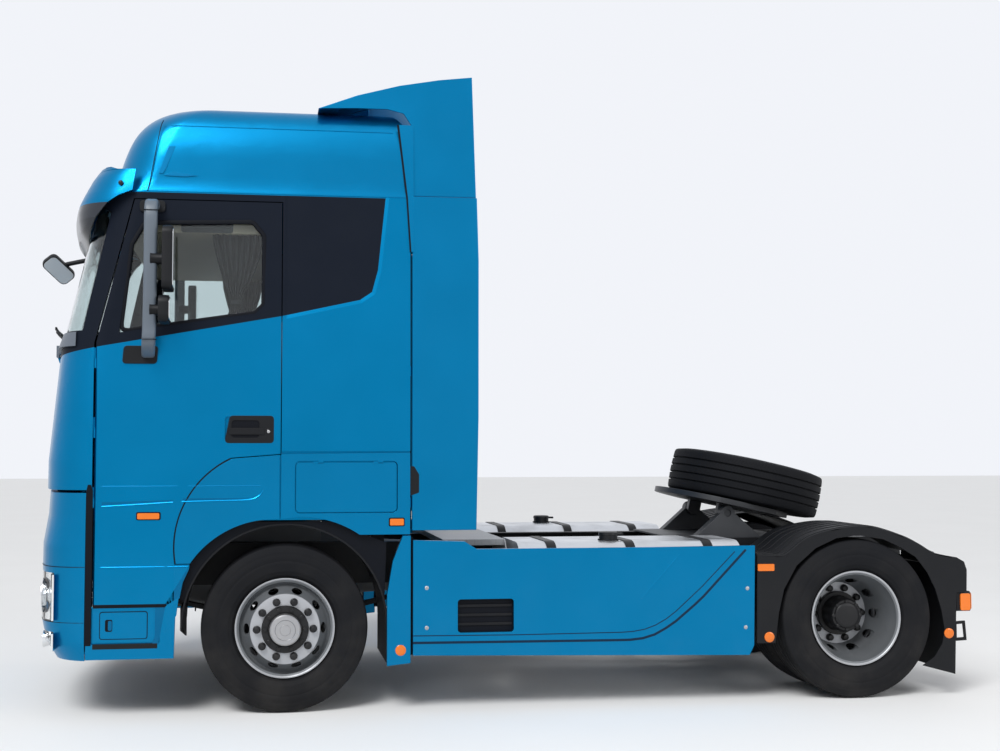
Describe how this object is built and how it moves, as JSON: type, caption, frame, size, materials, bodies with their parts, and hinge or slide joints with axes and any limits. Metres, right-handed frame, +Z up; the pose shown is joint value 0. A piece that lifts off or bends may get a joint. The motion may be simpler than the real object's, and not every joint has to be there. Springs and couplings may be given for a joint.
{
  "type": "semi truck tractor unit",
  "caption": "Cab-over tractor unit for articulated lorries: high-roof sleeper cab on a short wheelbase chassis with a steered front axle, a twin-tyred rear axle and a tilting coupling.",
  "frame": {"origin": "middle of the bounding box at road level", "axes": "+X to the rear of the truck, +Y to its right side, +Z up"},
  "size_m": [6.071, 3.08, 3.885],
  "materials": {
    "paint_blue": "metallic",
    "paint_grey": "matte",
    "black_plastic": "matte",
    "glass": "clear",
    "lamp_clear": "clear",
    "lamp_red": "gloss",
    "interior_dark": "matte",
    "interior_beige": "matte",
    "fabric_dark": "woven",
    "fabric_grey": "woven",
    "chassis_paint": "satin",
    "cast_grey": "rough",
    "tank_alu": "brushed",
    "rim_silver": "satin",
    "tyre": "rubber",
    "deck_plate": "tread plate",
    "coupling_paint": "satin",
    "engine_paint": "satin"
  },
  "bodies": {
    "chassis": {"frame": "chassis_paint", "front_axle": "cast_grey", "suspension": "chassis_paint", "rear_axle": "cast_grey", "engine": "engine_paint", "gearbox": "tank_alu", "driveshaft": "chassis_paint", "fuel_tanks": "tank_alu", "tank_brackets": "chassis_paint", "side_skirts": "paint_blue", "fender_strips": "paint_blue", "deck": "deck_plate", "mudguards": "black_plastic", "tail_lamps": "lamp_red", "fifth_wheel_base": "coupling_paint"},
    "cab": {"cab_shell": "paint_blue", "high_roof": "paint_blue", "windscreen": "glass", "cowl": "paint_grey", "bumper": "paint_blue", "headlamps": "lamp_clear", "side_panels": "paint_blue", "steps": "black_plastic", "sun_visor": "paint_blue", "roof_deflector": "paint_blue", "side_fairings": "paint_blue", "seats": "fabric_grey", "bunk": "fabric_grey", "dashboard": "interior_dark", "overhead_console": "interior_beige", "curtains": "fabric_dark", "front_mirror": "black_plastic"},
    "left_door": {"door_left": "paint_blue", "door_glass_left": "glass", "mirror_left": "paint_grey"},
    "right_door": {"door_right": "paint_blue", "door_glass_right": "glass", "mirror_right": "paint_grey"},
    "flap": {"front_flap": "paint_blue"},
    "left_lid": {"locker_lid_left": "paint_blue"},
    "right_lid": {"locker_lid_right": "paint_blue"},
    "coupling": {"fifth_wheel_plate": "coupling_paint", "spare_tyre": "tyre", "spare_rim": "rim_silver"},
    "left_knuckle": {"knuckle_left": "cast_grey"},
    "right_knuckle": {"knuckle_right": "cast_grey"},
    "track_rod": {"tie_rod": "cast_grey"},
    "front_left_wheel": {"front_wheel_left": "rim_silver", "front_tyre_left": "tyre"},
    "front_right_wheel": {"front_wheel_right": "rim_silver", "front_tyre_right": "tyre"},
    "rear_left_wheels": {"rear_wheels_left": "rim_silver", "rear_tyres_left": "tyre"},
    "rear_right_wheels": {"rear_wheels_right": "rim_silver", "rear_tyres_right": "tyre"}
  },
  "joints": [
    {"name": "cab_tilt", "type": "hinge", "parent": "chassis", "child": "cab", "pos_m": [-2.4745, 0, 0.8], "axis": [0, -1, 0], "range_deg": [0, 55]},
    {"name": "door_left_hinge", "type": "hinge", "parent": "cab", "child": "left_door", "pos_m": [-2.446, -1.232, 1.64], "axis": [0, 0, -1], "range_deg": [0, 75]},
    {"name": "door_right_hinge", "type": "hinge", "parent": "cab", "child": "right_door", "pos_m": [-2.446, 1.232, 1.64], "axis": [0, 0, 1], "range_deg": [0, 75]},
    {"name": "flap_hinge", "type": "hinge", "parent": "cab", "child": "flap", "pos_m": [-2.7765, 0, 2.17], "axis": [0, 1, 0], "range_deg": [0, 70]},
    {"name": "lid_left_hinge", "type": "hinge", "parent": "cab", "child": "left_lid", "pos_m": [-0.9645, -1.244, 1.496], "axis": [-1, 0, 0], "range_deg": [0, 80]},
    {"name": "lid_right_hinge", "type": "hinge", "parent": "cab", "child": "right_lid", "pos_m": [-0.9645, 1.244, 1.496], "axis": [1, 0, 0], "range_deg": [0, 80]},
    {"name": "coupling_tilt", "type": "hinge", "parent": "chassis", "child": "coupling", "pos_m": [1.7255, 0, 1.13], "axis": [0, -1, 0], "range_deg": [0, 25]},
    {"name": "steer_left", "type": "hinge", "parent": "chassis", "child": "left_knuckle", "pos_m": [-1.3245, -0.88, 0.502], "axis": [0, 0, 1], "range_deg": [-40, 40]},
    {"name": "steer_right", "type": "hinge", "parent": "chassis", "child": "right_knuckle", "pos_m": [-1.3245, 0.88, 0.502], "axis": [0, 0, 1], "range_deg": [-40, 40]},
    {"name": "tie_rod_joint", "type": "hinge", "parent": "left_knuckle", "child": "track_rod", "pos_m": [-1.0445, -0.745, 0.334], "axis": [0, 0, 1], "range_deg": [-47, 47]},
    {"name": "spin_front_left", "type": "hinge", "parent": "left_knuckle", "child": "front_left_wheel", "pos_m": [-1.3245, -1.03, 0.502], "axis": [0, 1, 0], "continuous": true},
    {"name": "spin_front_right", "type": "hinge", "parent": "right_knuckle", "child": "front_right_wheel", "pos_m": [-1.3245, 1.03, 0.502], "axis": [0, 1, 0], "continuous": true},
    {"name": "spin_rear_left", "type": "hinge", "parent": "chassis", "child": "rear_left_wheels", "pos_m": [2.2755, -0.913, 0.502], "axis": [0, 1, 0], "continuous": true},
    {"name": "spin_rear_right", "type": "hinge", "parent": "chassis", "child": "rear_right_wheels", "pos_m": [2.2755, 0.913, 0.502], "axis": [0, 1, 0], "continuous": true}
  ],
  "couplings": [
    {"joint": "steer_right", "follows": "steer_left", "ratio": 1},
    {"joint": "tie_rod_joint", "follows": "steer_left", "ratio": -1.16}
  ]
}
